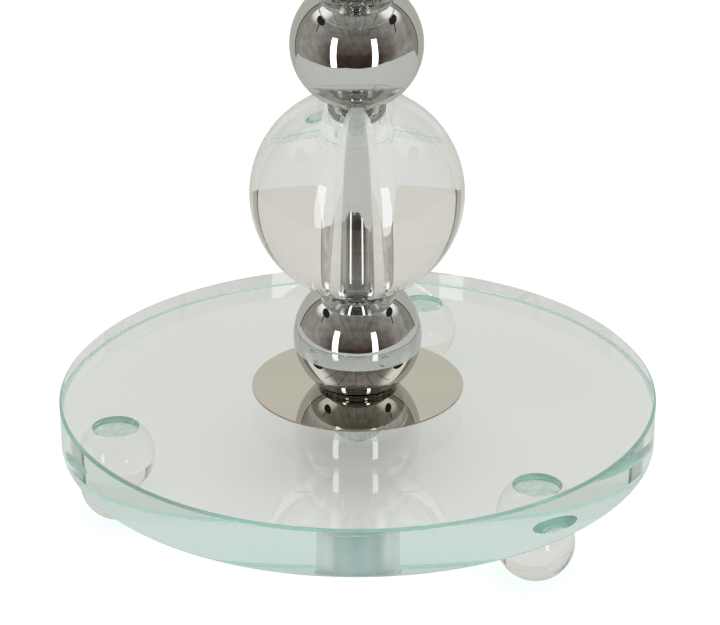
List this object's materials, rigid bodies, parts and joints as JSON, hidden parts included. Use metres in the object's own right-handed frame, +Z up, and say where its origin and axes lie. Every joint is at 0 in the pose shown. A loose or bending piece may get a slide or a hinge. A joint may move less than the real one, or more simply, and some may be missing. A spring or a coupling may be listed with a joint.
{
  "type": "tiered cake stand",
  "caption": "Tiered cake stand: round clear glass plates carried on a central column of chrome and crystal balls, on crystal ball feet, with a screw-on finial.",
  "frame": {"origin": "on the supporting surface, under the middle of the base plate", "axes": "+Z up along the column; -Y towards the viewer, with the front right foot 46.6 degrees from +X towards -Y"},
  "size_m": [0.228, 0.228, 0.5231],
  "materials": {
    "float_glass": "polished, with a faint aqua edge",
    "crystal": "polished optical crystal",
    "chrome": "mirror polished",
    "zinc_steel": "bright zinc plated",
    "brass": "turned",
    "silicone": "translucent matte",
    "nylon": "natural, matte",
    "clear_washer": "clear, glossy",
    "clear_adhesive": "clear cured film"
  },
  "bodies": {
    "stand": {"base_plate": "float_glass", "foot_front_right": "crystal", "foot_rear": "crystal", "foot_left": "crystal", "foot_adhesive": "clear_adhesive", "base_bush": "nylon", "base_gasket": "silicone", "base_washer": "zinc_steel", "base_lock_washer": "zinc_steel", "base_nut": "zinc_steel", "lower_rod": "zinc_steel", "rod_coupler": "brass", "upper_rod": "zinc_steel", "base_cover_disc": "chrome", "base_neck_ring": "chrome", "lower_chrome_ball_1": "chrome", "lower_crystal_ball_1": "crystal", "lower_tube_1": "chrome", "lower_chrome_ball_2": "chrome", "lower_crystal_ball_2": "crystal", "lower_tube_2": "chrome", "lower_ball_washers": "clear_washer", "middle_seat_ring": "chrome", "middle_under_disc": "chrome", "middle_gaskets": "silicone", "middle_plate": "float_glass", "middle_bush": "nylon", "middle_cover_disc": "chrome", "middle_neck_ring": "chrome", "upper_chrome_ball_1": "chrome", "upper_crystal_ball_1": "crystal", "upper_tube_1": "chrome", "upper_chrome_ball_2": "chrome", "upper_crystal_ball_2": "crystal", "upper_tube_2": "chrome", "upper_ball_washers": "clear_washer", "top_seat_ring": "chrome", "top_under_disc": "chrome", "top_gaskets": "silicone", "top_plate": "float_glass", "top_bush": "nylon", "top_cover_disc": "chrome", "finial_washer": "nylon"},
    "finial": {"finial_chrome_ball": "chrome", "finial_insert": "brass", "finial_adhesive": "clear_adhesive", "finial_crystal_ball": "crystal"}
  },
  "joints": [
    {"name": "finial_turn", "type": "hinge", "parent": "stand", "child": "finial", "pos_m": [0, 0, 0.45765], "axis": [0, 0, 1], "continuous": true}
  ]
}
